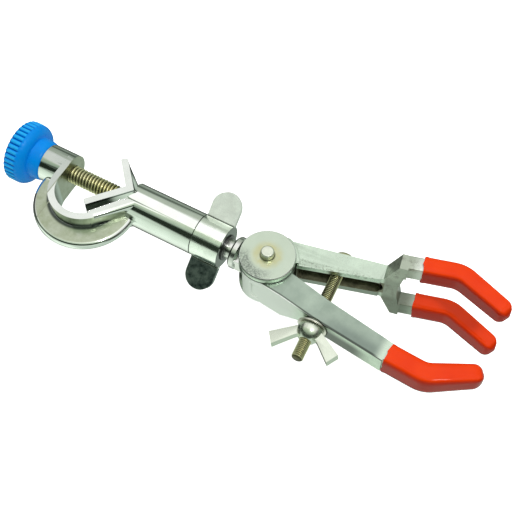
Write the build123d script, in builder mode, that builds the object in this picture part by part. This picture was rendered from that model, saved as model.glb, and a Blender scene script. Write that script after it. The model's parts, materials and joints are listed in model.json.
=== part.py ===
from build123d import *
from math import atan2, cos, hypot, radians, sin, sqrt
import os

os.makedirs("parts", exist_ok=True)

# Three-finger swivel clamp with its own boss head, in millimetres.
# +X runs along the body from the knob to the fingers, +Z is up along the retort rod and the
# pivot pin, +Y is the open side of the boss head. The origin is the inside corner of the V seat.

# Clearances
FIT = 0.08                # radial gap of a shaft that turns in its hole
GAP = 0.1                 # gap between two faces that slide past each other
LOOSE = 0.3               # gap round parts that only pass each other

# Clamp screw and its boss
SCREW_R = 4.0             # M8 coarse thread
BOSS_R = 8.45
BOSS_BACK = -40.8         # knob side
BOSS_FRONT = -28.2        # rod side
SCREW_TIP = -4.8          # fully run in

# Knob
KNOB_R = 13.9
KNOB_BACK = -56.1
GRIP_FRONT = -49.9        # end of the ribs
KNOB_FRONT = -46.6
HUB_R = 9.1
HUB_FRONT = BOSS_BACK - GAP
RIB_COUNT = 36
KNOB_RIB_R = 1.15
SCREW_HEAD_BACK, SCREW_HEAD_FRONT = -53.0, -48.6   # the screw's head, inside the knob
SCREW_HEAD_R = 6.2

# V seat for the rod
V_HALF = radians(49.2)    # half of the angle between the two arms
V_T = 3.0                 # thickness of the plate at its top edge
V_UP = 14.2               # length of the arm on the open side
V_DOWN = 18.3             # length of the arm on the arch side
V_H = 10.7                # half height
V_STEP_H = 7.3            # half height at the foot of the bevels behind the plate
V_STEP_TIP = 3.0          # how much thicker the V is there at its tips
V_STEP_MID = 1.4          # and at its corner
V_STEP_UP = 3.2           # the same at the corner on the open side

# C arch
ARCH_X, ARCH_Y = -15.8, -8.3   # centre of the arch
STRAP_IN = 12.4
STRAP_OUT = 15.4
STRAP_H = 8.4
RUN_T = STRAP_OUT + ARCH_X * sin(V_HALF) - ARCH_Y * cos(V_HALF)   # from the V's face, straight run
RUN_ANGLE = V_HALF - radians(90)   # where the arch meets its straight run
RIB_R = 22.6
RIB_X, RIB_Y = -14.9, -9.9      # centre of the rib's rim
RIB_T = 4.6
RIB_ROUND = 1.9
RUN_ROUND = 1.8
BOSS_END_Y, BOSS_END_H = 2.6, 8.2      # where the strap's end blends into the boss, half height
RIB_BACK = radians(-40)   # where the rib leaves its circle for the tube
RIB_ROOT = radians(-65)   # where the strap has already met the V

# Body tube, nose and wing collar
TUBE_R = 9.15
TUBE_END = 35.3
NOSE_R = 6.5
NOSE_END = 43.8
COLLAR_BACK = TUBE_END + 0.35
COLLAR_FRONT = 48.6
WING_ANGLE = 40.0         # plane of the wings, from +Y towards +Z
WING_T = 2.5
WING_TIP = 21.8
WING_X0, WING_X1 = 35.9, 48.8
BUSH_R = 5.75

# Swivel shaft
SHAFT_R = 4.5
SHAFT_BACK = 9.0
STUB_R = 7.0
STUB_BACK, STUB_FRONT = 53.1, 55.8
RING_R = 6.3              # snap ring
RING_T = 1.2
GROOVE_R = 3.9
WASHER_R = NOSE_R - 0.1
WASHER_T = 0.8
STACK_GAP = 0.05

# Pivot, on the swivel head
PIVOT_X = 67.9
EAR_R = 11.75             # outer ears
INNER_EAR_R = 8.3
EYE_R = 6.5
EYE_W = 6.0               # half width of the shaft's flat neck
EYE_H = 3.3               # half thickness of the shaft's eye
EAR_T = 3.1
INNER_Z0 = EYE_H + GAP
INNER_Z1 = INNER_Z0 + EAR_T
OUTER_Z0 = INNER_Z1 + GAP
OUTER_Z1 = OUTER_Z0 + EAR_T
PIN_R = 2.8
PIN_PROUD = 3.0
PIN_WASHER_T = 0.9
PIN_WASHER_R = 5.2
PIN_FOOT_R = 4.2
SWING_CLEAR = 12.2        # radius round the pivot that the arm bodies keep out of

# Arms, each in its own frame: u along its outer face, v towards +Y, from the pivot
A_DIR = 11.8              # two-prong arm's direction in plan, degrees
A_OUT = 11.3              # outer face
A_H0, A_H1 = 6.0, 7.0     # half height at the pivot and at the fork
A_WALL = 2.6
A_END = 47.4              # where the channel ends and the fork starts
A_SLOT_H = 3.8
A_SLOT_U = 12.6           # where its channel begins
SHOULDER_R = 13.0         # step from the upper ear down to the arm
SHOULDER_Z = 7.9
FORK_ROOT = 6.2           # length of the fork's web beyond the channel
PRONG_Z = 14.8            # height of each of its two prongs
PRONG_BASE = (118.7, 18.95)
PRONG_BEND = (140.8, 25.4)
PRONG_TIP = (163.9, 18.0)
B_DIR = -6.2              # one-prong arm's direction
B_OUT = -11.1
B_H = 4.6
B_WALL = 2.9
B_END = 61.6
B_SLOT_H = 2.85
B_SLOT_U = 13.0
B_SLOPE_LOW, B_SLOPE_HIGH = 23.0, 30.0   # where the flanges reach their least height
SKIRT_ANGLE = radians(-116)
SKIRT_IN = 9.8            # inner radius of its skirt round the pivot
SINGLE_BASE = (128.6, -13.2)
SINGLE_BEND = (145.0, -14.1)
SINGLE_TIP = (165.0, -2.2)
PRONG_BARE = 7.7          # metal that shows between the fork and each sleeve
PRONG_SIZE0, PRONG_SIZE1 = (6.3, 7.7), (5.6, 7.1)      # across and high, at the bend and the tip
SINGLE_SIZE0, SINGLE_SIZE1 = (7.6, 9.1), (6.0, 7.3)
SINGLE_ROOT = 4.0         # how far the single prong runs back into its arm
SLEEVE_T = 0.6
METAL_ROUND, SLEEVE_ROUND = 0.1, 0.2   # corner radius as a share of the smaller side

# Adjusting screw, along -v' of the middle frame
MID_DIR = 4.1             # direction of the middle frame, halfway between the arms
ADJ_R = 2.5               # M5
ADJ_U = 27.7              # distance from the pivot
BALL = 22.5               # distance of both ball-seat centres from the middle plane
A_BALL_R = 9.6            # dished seat in the two-prong arm
B_BALL_R = 8.3            # dished seat in the one-prong arm
SEAT_GAP = 0.2
HEAD_R = 4.75
HEAD_BASE, HEAD_TOP = 15.6, 18.8
HEAD_WASHER_R = 5.3
NUT_WASHER_R = 6.25
NUT_BASE = -18.0
NUT_TOP = -24.4
NUT_R = 5.25
BLADE_MID = (8.1, 7.1)    # middle of each blade, across and out from the nut's base
BLADE_L, BLADE_W, BLADE_T = 11.4, 5.8, 2.7
BLADE_ANGLE = 49
WING_TURN = 8.0           # turn of the wing nut out of the horizontal
ADJ_END = -33.0

# ---------------------------------------------------------------- planes


def plan(angle, z=0.0):
    """Horizontal plane at height z, at the pivot, turned by angle degrees."""
    a = radians(angle)
    return Plane(origin=(PIVOT_X, 0, z), x_dir=(cos(a), sin(a), 0), z_dir=(0, 0, 1))


def side(angle, v):
    """Upright plane at offset v from the pivot: its x is u and its y is Z, facing -v."""
    a = radians(angle)
    origin = (PIVOT_X - v * sin(a), v * cos(a), 0)
    return Plane(origin=origin, x_dir=(cos(a), sin(a), 0), z_dir=(sin(a), -cos(a), 0))


def across(y):
    """Plane square to the adjusting screw at y in the middle frame, facing +y."""
    a = radians(MID_DIR)
    origin = (PIVOT_X + ADJ_U * cos(a) - y * sin(a), ADJ_U * sin(a) + y * cos(a), 0)
    return Plane(origin=origin, x_dir=(cos(a), sin(a), 0), z_dir=(-sin(a), cos(a), 0))


def screw_profile_plane():
    """Plane that holds the adjusting screw's axis: x across it, y along it outwards (+y)."""
    a = radians(MID_DIR)
    origin = (PIVOT_X + ADJ_U * cos(a), ADJ_U * sin(a), 0)
    return Plane(origin=origin, x_dir=(cos(a), sin(a), 0), z_dir=(0, 0, 1))


AXIAL = Plane.XY          # profiles of parts turned about the X axis: x along, y radius
SCREW_AXIS = screw_profile_plane()
ADJ_AXIS = Axis(SCREW_AXIS.origin, SCREW_AXIS.y_dir)

# ---------------------------------------------------------------- boss frame

arm_up = Vector(-cos(V_HALF), sin(V_HALF))
arm_down = Vector(-cos(V_HALF), -sin(V_HALF))
out_up = Vector(sin(V_HALF), cos(V_HALF))
out_down = Vector(sin(V_HALF), -cos(V_HALF))
corner = Vector(0, 0)


def v_outline(tip_step, middle_step, up_step):
    """Outline of the V in plan, with its back moved out by these steps."""
    return [
        corner,
        arm_up * V_UP,
        arm_up * V_UP + out_up * V_T,
        Vector(V_T / sin(V_HALF), 0) + out_up * up_step,
        Vector((V_T + middle_step) / sin(V_HALF), 0),
        arm_down * V_DOWN + out_down * (V_T + tip_step),
        arm_down * V_DOWN,
    ]


def arch_point(radius, angle):
    """Point on a circle round the arch's centre."""
    return (ARCH_X + radius * cos(angle), ARCH_Y + radius * sin(angle))


def rib_point(radius, angle):
    """Point on a circle round the centre of the rib's rim."""
    return (RIB_X + radius * cos(angle), RIB_Y + radius * sin(angle))


# The strap's straight run, from the arch up the back of the V to the tube
run_tip = arm_down * V_DOWN

with BuildPart() as run_block:
    with BuildSketch(Plane.XY.offset(-STRAP_H)):
        with BuildLine():
            Polyline(
                corner,
                run_tip,
                run_tip + out_down * RUN_T,
                Vector(RUN_T / sin(V_HALF), 0),
                close=True,
            )
        make_face()
    extrude(amount=2 * STRAP_H)
    long_edges = run_block.edges().filter_by(lambda e: e.center().dot(out_down) > RUN_T - GAP)
    fillet(long_edges.filter_by(Axis.Z, reverse=True), RUN_ROUND)
strap_run = run_block.part

# The rib round the outside of the strap, with a rounded rim
with BuildPart() as rib_block:
    with BuildSketch(Plane.XY.offset(-RIB_T / 2)):
        with Locations((RIB_X, RIB_Y)):
            Circle(RIB_R)
        with Locations((ARCH_X, ARCH_Y)):
            Circle(STRAP_IN + 1.5, mode=Mode.SUBTRACT)
        with Locations((ARCH_X, ARCH_Y + RIB_R)):
            Rectangle(3 * RIB_R, 2 * RIB_R, mode=Mode.SUBTRACT)
        with BuildLine():
            Polyline(
                run_tip + out_down * V_T,
                (V_T, 0),
                (RIB_X + RIB_R, 0),
                (RIB_X + RIB_R, RIB_Y),
                rib_point(RIB_R, RIB_BACK),
                arch_point(STRAP_OUT, RIB_ROOT),
                close=True,
            )
        make_face()
    extrude(amount=RIB_T)
    rims = rib_block.edges().filter_by(GeomType.CIRCLE).filter_by(lambda e: abs(e.radius - RIB_R) < GAP)
    fillet(rims, RIB_ROUND)
arch_rib = rib_block.part

with BuildPart() as boss_frame:
    # Screw boss and body tube
    with BuildSketch(Plane.YZ.offset(BOSS_BACK)):
        Circle(BOSS_R)
    extrude(amount=BOSS_FRONT - BOSS_BACK)
    with BuildSketch(Plane.YZ.offset(3)):
        Circle(TUBE_R)
    extrude(amount=TUBE_END - 3)
    # V seat: a plate with a thicker layer behind it that slopes away at top and bottom
    with BuildSketch(Plane.XY.offset(-V_STEP_H)):
        with BuildLine():
            Polyline(v_outline(V_STEP_TIP, V_STEP_MID, V_STEP_UP), close=True)
        make_face()
    extrude(amount=2 * V_STEP_H)
    for sign in (1, -1):
        with BuildSketch(Plane.XY.offset(sign * V_STEP_H)):
            with BuildLine():
                Polyline(v_outline(V_STEP_TIP, V_STEP_MID, V_STEP_UP), close=True)
            make_face()
        with BuildSketch(Plane.XY.offset(sign * V_H)):
            with BuildLine():
                Polyline(v_outline(0, 0, GAP), close=True)
            make_face()
        loft(ruled=True)
    # Strap of the arch, and its straight run up the end of the boss
    with BuildSketch(Plane.XY.offset(-STRAP_H)):
        with Locations((ARCH_X, ARCH_Y)):
            Circle(STRAP_OUT)
            Circle(STRAP_IN, mode=Mode.SUBTRACT)
        with Locations((ARCH_X, ARCH_Y + STRAP_OUT)):
            Rectangle(4 * STRAP_OUT, 2 * STRAP_OUT, mode=Mode.SUBTRACT)
        with BuildLine():
            Polyline(
                (ARCH_X, ARCH_Y),
                (ARCH_X + 2 * STRAP_OUT, ARCH_Y),
                arch_point(2 * STRAP_OUT, RUN_ANGLE),
                close=True,
            )
        make_face(mode=Mode.SUBTRACT)
    extrude(amount=2 * STRAP_H)
    with BuildSketch(Plane.YZ.offset(ARCH_X - STRAP_OUT)):
        with BuildLine():
            Polyline(
                (ARCH_Y, -STRAP_H),
                (BOSS_END_Y, -BOSS_END_H),
                (BOSS_END_Y, BOSS_END_H),
                (ARCH_Y, STRAP_H),
                close=True,
            )
        make_face()
    extrude(amount=STRAP_OUT - STRAP_IN)
    add(strap_run)
    add(arch_rib)
    # Threaded bore of the screw
    with BuildSketch(Plane.YZ.offset(BOSS_BACK - 1)):
        Circle(SCREW_R + FIT)
    extrude(amount=BOSS_FRONT - BOSS_BACK + 4, mode=Mode.SUBTRACT)
    # Nose that the wing collar screws on, and the blind bore of the swivel shaft
    with BuildSketch(Plane.YZ.offset(TUBE_END - 1)):
        Circle(NOSE_R)
    extrude(amount=NOSE_END - TUBE_END + 1)
    with BuildSketch(Plane.YZ.offset(SHAFT_BACK - 1)):
        Circle(SHAFT_R + FIT)
    extrude(amount=NOSE_END - SHAFT_BACK + 2, mode=Mode.SUBTRACT)


# ---------------------------------------------------------------- clamp screw and knob

with BuildPart() as clamp_screw:
    with BuildSketch(AXIAL):
        with BuildLine():
            Polyline(
                (SCREW_HEAD_BACK, 0),
                (SCREW_HEAD_BACK, SCREW_HEAD_R),
                (SCREW_HEAD_FRONT, SCREW_HEAD_R),
                (SCREW_HEAD_FRONT, SCREW_R),
                (SCREW_TIP - 1, SCREW_R),
                (SCREW_TIP, SCREW_R - 1),
                (SCREW_TIP, 0),
                close=True,
            )
        make_face()
    revolve(axis=Axis.X)

with BuildPart() as screw_knob:
    with BuildSketch(Plane.YZ.offset(KNOB_BACK)):
        Circle(KNOB_R - 1.0)
        with PolarLocations(KNOB_R - KNOB_RIB_R, RIB_COUNT):
            Circle(KNOB_RIB_R)
    extrude(amount=GRIP_FRONT - KNOB_BACK)
    with BuildSketch(AXIAL):
        with BuildLine():
            Polyline(
                (KNOB_BACK, KNOB_R - 2), (KNOB_BACK, KNOB_R + 1), (KNOB_BACK + 3, KNOB_R + 1), close=True
            )
        make_face()
    revolve(axis=Axis.X, mode=Mode.SUBTRACT)
    with BuildSketch(AXIAL):
        with BuildLine():
            Polyline((GRIP_FRONT - 0.5, 0), (GRIP_FRONT - 0.5, KNOB_R - 0.4), (GRIP_FRONT, KNOB_R - 0.4))
            ThreePointArc(
                (GRIP_FRONT, KNOB_R - 0.4),
                (GRIP_FRONT + 2.3, KNOB_R - 1.4),
                (KNOB_FRONT, KNOB_R - 3.6),
            )
            Polyline((KNOB_FRONT, KNOB_R - 3.6), (KNOB_FRONT, HUB_R), (HUB_FRONT, HUB_R), (HUB_FRONT, 0))
            Line((HUB_FRONT, 0), (GRIP_FRONT - 0.5, 0))
        make_face()
    revolve(axis=Axis.X)
    with BuildSketch(Plane.YZ.offset(SCREW_HEAD_BACK - GAP)):
        Circle(SCREW_HEAD_R + FIT)
    extrude(amount=SCREW_HEAD_FRONT - SCREW_HEAD_BACK + 2 * GAP, mode=Mode.SUBTRACT)
    with BuildSketch(Plane.YZ.offset(SCREW_HEAD_FRONT)):
        Circle(SCREW_R + FIT)
    extrude(amount=HUB_FRONT - SCREW_HEAD_FRONT + 1, mode=Mode.SUBTRACT)

# ---------------------------------------------------------------- wing collar and what it holds

REAR_WASHER_X = NOSE_END + STACK_GAP
RING_X = REAR_WASHER_X + WASHER_T + STACK_GAP
FRONT_WASHER_X = RING_X + RING_T + STACK_GAP
SHELF_X = FRONT_WASHER_X + WASHER_T + STACK_GAP
BUSH_END = COLLAR_FRONT + 0.6


def ring(x, thickness, outer, inner):
    """Flat ring square to the X axis, from x forwards."""
    with BuildPart() as piece:
        with BuildSketch(Plane.YZ.offset(x)):
            Circle(outer)
            Circle(inner, mode=Mode.SUBTRACT)
        extrude(amount=thickness)
    return piece.part


wing_plane = Plane(
    origin=(0, 0, 0),
    x_dir=(1, 0, 0),
    z_dir=(0, -sin(radians(WING_ANGLE)), cos(radians(WING_ANGLE))),
)
wing_mid = (WING_X0 + WING_X1) / 2
wing_half = (WING_X1 - WING_X0) / 2

with BuildPart() as wing_collar:
    with BuildSketch(Plane.YZ.offset(COLLAR_BACK)):
        Circle(TUBE_R)
    extrude(amount=COLLAR_FRONT - COLLAR_BACK)
    with BuildSketch(wing_plane.offset(-WING_T / 2)):
        for way in (1, -1):
            with Locations((wing_mid, way * (WING_TIP - wing_half))):
                Circle(wing_half)
        with Locations((wing_mid, 0)):
            Rectangle(2 * wing_half, 2 * (WING_TIP - wing_half))
    extrude(amount=WING_T)
    with BuildSketch(Plane.YZ.offset(COLLAR_FRONT)):
        Circle(TUBE_R)
    extrude(amount=WING_X1 - COLLAR_FRONT, mode=Mode.SUBTRACT)
    with BuildSketch(Plane.YZ.offset(COLLAR_BACK)):
        Circle(NOSE_R + FIT)
    extrude(amount=SHELF_X - COLLAR_BACK, mode=Mode.SUBTRACT)
    with BuildSketch(Plane.YZ.offset(COLLAR_BACK)):
        Circle(BUSH_R)
    extrude(amount=COLLAR_FRONT - COLLAR_BACK, mode=Mode.SUBTRACT)

with BuildPart() as front_bush:
    add(ring(SHELF_X, BUSH_END - SHELF_X, BUSH_R, SHAFT_R + FIT))

with BuildPart() as rear_friction_washer:
    add(ring(REAR_WASHER_X, WASHER_T, WASHER_R, SHAFT_R + FIT))

with BuildPart() as front_friction_washer:
    add(ring(FRONT_WASHER_X, WASHER_T, WASHER_R, SHAFT_R + FIT))

with BuildPart() as shaft_snap_ring:
    add(ring(RING_X, RING_T, RING_R, GROOVE_R))
    with BuildSketch(Plane.YZ.offset(RING_X)):
        with Locations((RING_R, 0)):
            Rectangle(2 * RING_R, 2.4)
    extrude(amount=RING_T, mode=Mode.SUBTRACT)

# ---------------------------------------------------------------- swivel shaft, pin and washer

with BuildPart() as swivel_shaft:
    with BuildSketch(AXIAL):
        with BuildLine():
            Polyline(
                (SHAFT_BACK + 0.2, 0),
                (SHAFT_BACK + 0.2, SHAFT_R - 1),
                (SHAFT_BACK + 1.2, SHAFT_R),
                (RING_X, SHAFT_R),
                (RING_X, GROOVE_R),
                (RING_X + RING_T, GROOVE_R),
                (RING_X + RING_T, SHAFT_R),
                (STUB_BACK - 0.8, SHAFT_R),
                (STUB_BACK - 0.8, STUB_R - 0.8),
                (STUB_BACK, STUB_R),
                (STUB_FRONT - 0.8, STUB_R),
                (STUB_FRONT, STUB_R - 0.8),
                (STUB_FRONT, 0),
                close=True,
            )
        make_face()
    revolve(axis=Axis.X)
    with BuildSketch(Plane.XY.offset(-EYE_H)):
        with Locations((STUB_FRONT - 1, 0)):
            Rectangle(PIVOT_X - STUB_FRONT + 1, 2 * EYE_W, align=(Align.MIN, Align.CENTER))
        with Locations((PIVOT_X, 0)):
            Circle(EYE_R)
            Circle(PIN_R, mode=Mode.SUBTRACT)
    extrude(amount=2 * EYE_H)

foot_z = -OUTER_Z1 - GAP - PIN_WASHER_T

with BuildPart() as pivot_pin:
    with BuildSketch(plan(0, foot_z)):
        Circle(PIN_R)
    extrude(amount=OUTER_Z1 + PIN_PROUD - foot_z)
    chamfer(pivot_pin.faces().sort_by(Axis.Z)[-1].edges(), 0.4)
    with BuildSketch(plan(0, foot_z - 1.4)):
        Circle(PIN_FOOT_R - 1)
    with BuildSketch(plan(0, foot_z)):
        Circle(PIN_FOOT_R)
    loft()

with BuildPart() as rivet_washer:
    with BuildSketch(plan(0, foot_z)):
        Circle(PIN_WASHER_R)
        Circle(PIN_R, mode=Mode.SUBTRACT)
    extrude(amount=PIN_WASHER_T)

# ---------------------------------------------------------------- prongs and their sleeves


def heading(start, end):
    """Direction from start to end in plan, in radians."""
    return atan2(end[1] - start[1], end[0] - start[0])


def towards(start, end, step):
    """Point that lies step along the way from start to end."""
    part = step / hypot(end[0] - start[0], end[1] - start[1])
    return (start[0] + part * (end[0] - start[0]), start[1] + part * (end[1] - start[1]))


def bar(path, sizes, z, rounding):
    """Bar through the points of path; sizes are (across, high) and rounding is a share of them."""
    angles = [heading(a, b) for a, b in zip(path, path[1:])]
    angles = [angles[0]] + [(a + b) / 2 for a, b in zip(angles, angles[1:])] + [angles[-1]]
    with BuildPart() as piece:
        for point, size, angle in zip(path, sizes, angles):
            station = Plane(
                origin=(point[0], point[1], z),
                x_dir=(-sin(angle), cos(angle), 0),
                z_dir=(cos(angle), sin(angle), 0),
            )
            with BuildSketch(station):
                RectangleRounded(size[0], size[1], rounding * min(size))
        loft(ruled=True)
    return piece.part


def prong_bars(base, rim, bend, tip, size0, size1, z):
    """Metal prong, and its sleeve from the rim on; sizes (across, high) at the bend and the tip."""
    near, far = towards(bend, base, 3.0), towards(bend, tip, 3.0)
    middle = ((near[0] + far[0] + bend[0]) / 3, (near[1] + far[1] + bend[1]) / 3)
    metal_tip = towards(tip, bend, 1.5)
    small = (0.7 * size1[0], 0.7 * size1[1])
    metal = bar(
        [base, near, middle, far, towards(metal_tip, bend, 1.5), metal_tip],
        [size0, size0, size0, size0, size1, small],
        z,
        METAL_ROUND,
    )
    grow = 2 * SLEEVE_T
    outer0 = (size0[0] + grow, size0[1] + grow)
    outer1 = (size1[0] + grow, size1[1] + grow)
    round1 = (0.86 * outer1[0], 0.86 * outer1[1])
    round2 = (0.5 * outer1[0], 0.5 * outer1[1])
    sleeve = bar(
        [rim, near, middle, far, towards(tip, bend, 3.2), towards(tip, bend, 1.2), tip],
        [outer0, outer0, outer0, outer0, outer1, round1, round2],
        z,
        SLEEVE_ROUND,
    )
    return metal, sleeve - metal


prong_rim = towards(PRONG_BASE, PRONG_BEND, PRONG_BARE)
upper_metal, upper_cover = prong_bars(
    PRONG_BASE, prong_rim, PRONG_BEND, PRONG_TIP, PRONG_SIZE0, PRONG_SIZE1, PRONG_Z
)
lower_metal, lower_cover = prong_bars(
    PRONG_BASE, prong_rim, PRONG_BEND, PRONG_TIP, PRONG_SIZE0, PRONG_SIZE1, -PRONG_Z
)
single_root = towards(SINGLE_BASE, SINGLE_BEND, -SINGLE_ROOT)
single_metal, single_cover = prong_bars(
    single_root, SINGLE_BASE, SINGLE_BEND, SINGLE_TIP, SINGLE_SIZE0, SINGLE_SIZE1, 0
)

with BuildPart() as upper_prong_sleeve:
    add(upper_cover)

with BuildPart() as lower_prong_sleeve:
    add(lower_cover)

with BuildPart() as single_prong_sleeve:
    add(single_cover)

# ---------------------------------------------------------------- two-prong arm

A_SEAT = SCREW_AXIS.origin + SCREW_AXIS.y_dir * BALL
B_SEAT = SCREW_AXIS.origin - SCREW_AXIS.y_dir * BALL
prong_half = PRONG_SIZE0[1] / 2
slot_end = A_END - 3.4
A_SHAPE = [(6.0, A_OUT), (A_END, A_OUT), (A_END - 1.2, 4.0), (10.0, 0.5), (6.0, 2.5)]

with BuildPart() as two_prong_arm:
    # Channel body, taller towards the fork
    with BuildSketch(plan(A_DIR, -A_H1)):
        with BuildLine():
            Polyline(A_SHAPE, close=True)
        make_face()
    extrude(amount=2 * A_H1)
    with BuildSketch(side(A_DIR, A_OUT + 1)):
        with BuildLine():
            Polyline((0, -A_H0), (A_END, -A_H1), (A_END, A_H1), (0, A_H0), close=True)
        make_face()
    extrude(amount=2 * A_OUT, mode=Mode.INTERSECT)
    # Fork
    with BuildSketch(side(A_DIR, A_OUT - 0.1)):
        for way in (1, -1):
            with BuildLine():
                Polyline(
                    (A_END - 2, 0),
                    (A_END - 2, way * (A_H1 - 0.3)),
                    (A_END, way * A_H1),
                    (A_END + FORK_ROOT - 1, way * (PRONG_Z + prong_half)),
                    (A_END + FORK_ROOT + 2.4, way * (PRONG_Z + prong_half)),
                    (A_END + FORK_ROOT + 2.4, way * (PRONG_Z - prong_half)),
                    (A_END + FORK_ROOT + 1.6, way * (PRONG_Z - prong_half)),
                    (A_END + FORK_ROOT + 0.2, way * 3.5),
                    (A_END + FORK_ROOT, 0),
                    close=True,
                )
            make_face()
    extrude(amount=A_OUT - 4.5)
    add(upper_metal)
    add(lower_metal)
    # Pocket of the channel
    with BuildSketch(side(A_DIR, A_OUT - A_WALL)):
        with BuildLine():
            Line((A_SLOT_U, -A_SLOT_H), (slot_end, -A_SLOT_H))
            ThreePointArc((slot_end, -A_SLOT_H), (slot_end + A_SLOT_H, 0), (slot_end, A_SLOT_H))
            Polyline((slot_end, A_SLOT_H), (A_SLOT_U, A_SLOT_H), (A_SLOT_U, -A_SLOT_H))
        make_face()
    extrude(amount=2 * A_OUT, mode=Mode.SUBTRACT)
    # Room for the swivel eye and for the other arm's ears
    with BuildSketch(plan(0, -A_H1 - 1)):
        Circle(SWING_CLEAR)
    extrude(amount=2 * A_H1 + 2, mode=Mode.SUBTRACT)
    # Upper ear: a disc, and the shoulder that steps down to the arm
    with BuildSketch(plan(A_DIR, OUTER_Z0)):
        Circle(EAR_R)
    extrude(amount=EAR_T)
    rims = two_prong_arm.edges().filter_by(GeomType.CIRCLE)
    chamfer(rims.filter_by(lambda e: abs(e.center().Z - OUTER_Z1) < GAP and e.radius > PIN_R + 1), 0.4)
    with BuildSketch(plan(A_DIR, A_H0 - 1)):
        Circle(SHOULDER_R)
        Circle(SWING_CLEAR, mode=Mode.SUBTRACT)
        with BuildLine():
            Polyline((0, 0), (40, 3.2), (40, A_OUT), (6, A_OUT), close=True)
        make_face(mode=Mode.INTERSECT)
    extrude(amount=SHOULDER_Z - A_H0 + 1)
    with BuildSketch(plan(A_DIR, OUTER_Z0)):
        Circle(SHOULDER_R)
        with BuildLine():
            Polyline((0, 0), (40, 3.2), (40, A_OUT), (3, A_OUT), close=True)
        make_face(mode=Mode.INTERSECT)
    extrude(amount=SHOULDER_Z - OUTER_Z0)
    # Lower ear, inside the other arm's
    with BuildSketch(plan(A_DIR, -INNER_Z1)):
        Circle(INNER_EAR_R)
        with BuildLine():
            Polyline((0, 0), (14, 1.4), (14, A_OUT), (6, 7.6), (0, INNER_EAR_R), close=True)
        make_face()
    extrude(amount=EAR_T)
    with BuildSketch(plan(0, -OUTER_Z1)):
        Circle(PIN_R + FIT)
    extrude(amount=2 * OUTER_Z1, mode=Mode.SUBTRACT)
    # Dished seat and slot of the adjusting screw
    with Locations(A_SEAT):
        Sphere(A_BALL_R, mode=Mode.SUBTRACT)
    with BuildSketch(across(3)):
        SlotOverall(10.4, 2 * (ADJ_R + LOOSE))
    extrude(amount=BALL, mode=Mode.SUBTRACT)

# ---------------------------------------------------------------- one-prong arm

skirt_edge = (2 * EAR_R * cos(SKIRT_ANGLE), 2 * EAR_R * sin(SKIRT_ANGLE))
B_SHAPE = [(4.0, B_OUT), (B_END, B_OUT), (B_END, -2.1), (10.0, 0.2), (4.0, -3.0)]

with BuildPart() as one_prong_arm:
    # Channel body, whose flanges spread up and down to the ears
    with BuildSketch(plan(B_DIR, -OUTER_Z1)):
        with BuildLine():
            Polyline(B_SHAPE, close=True)
        make_face()
    extrude(amount=OUTER_Z1 + INNER_Z1)
    with BuildSketch(side(B_DIR, -B_OUT)):
        with BuildLine():
            Polyline(
                (0, -OUTER_Z1),
                (14, -OUTER_Z1),
                (B_SLOPE_LOW, -B_H),
                (B_END, -B_H),
                (B_END, B_H),
                (B_SLOPE_HIGH, B_H),
                (14, INNER_Z1),
                (0, INNER_Z1),
                close=True,
            )
        make_face()
    extrude(amount=-4 * B_OUT, mode=Mode.INTERSECT)
    with BuildSketch(side(B_DIR, B_OUT + B_WALL)):
        with Locations((B_SLOT_U, 0)):
            Rectangle(B_END - 6 - B_SLOT_U, 2 * B_SLOT_H, align=(Align.MIN, Align.CENTER))
    extrude(amount=4 * B_OUT, mode=Mode.SUBTRACT)
    add(single_metal)
    with BuildSketch(plan(0, -OUTER_Z0)):
        Circle(SWING_CLEAR)
    extrude(amount=OUTER_Z0 + INNER_Z1 + 1, mode=Mode.SUBTRACT)
    # Ears
    for low in (INNER_Z0, -OUTER_Z1):
        with BuildSketch(plan(B_DIR, low)):
            Circle(EAR_R)
            with BuildLine():
                Polyline((0, 0), (14, -0.4), (14, B_OUT), (0, B_OUT), close=True)
            make_face()
        extrude(amount=EAR_T)
    # Skirt round the outside of the pivot
    with BuildSketch(plan(B_DIR, -OUTER_Z1)):
        Circle(EAR_R + 0.1)
        Circle(SKIRT_IN, mode=Mode.SUBTRACT)
        with BuildLine():
            Polyline((0, 0), (0, -2 * EAR_R), skirt_edge, close=True)
        make_face(mode=Mode.INTERSECT)
        with Locations((-0.5, B_OUT)):
            Rectangle(6.5, -B_OUT - SKIRT_IN, align=(Align.MIN, Align.MIN))
    extrude(amount=OUTER_Z1 + INNER_Z1)
    with BuildSketch(plan(0, -OUTER_Z1)):
        Circle(PIN_R + FIT)
    extrude(amount=2 * OUTER_Z1, mode=Mode.SUBTRACT)
    with Locations(B_SEAT):
        Sphere(B_BALL_R, mode=Mode.SUBTRACT)
    with BuildSketch(across(-3)):
        SlotOverall(9.8, 2 * (ADJ_R + LOOSE))
    extrude(amount=-BALL, mode=Mode.SUBTRACT)

# ---------------------------------------------------------------- adjusting screw, washers, nut


def seat_y(radius, ball_r, way):
    """Height of a washer's round underside at a radius from the screw's axis."""
    return way * (BALL - sqrt(ball_r ** 2 - radius ** 2))


def seat_washer(ball_r, outer, top, way):
    """Washer with a round underside; way is +1 on the two-prong side, -1 on the other."""
    bore = ADJ_R + (0 if way > 0 else FIT)
    radius = ball_r - SEAT_GAP
    middle = (bore + outer) / 2
    with BuildPart() as piece:
        with BuildSketch(SCREW_AXIS):
            with BuildLine():
                ThreePointArc(
                    (bore, seat_y(bore, radius, way)),
                    (middle, seat_y(middle, radius, way)),
                    (outer, seat_y(outer, radius, way)),
                )
                Polyline((outer, seat_y(outer, radius, way)), (outer, top), (bore, top))
                Line((bore, top), (bore, seat_y(bore, radius, way)))
            make_face()
        revolve(axis=ADJ_AXIS)
    return piece.part


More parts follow.
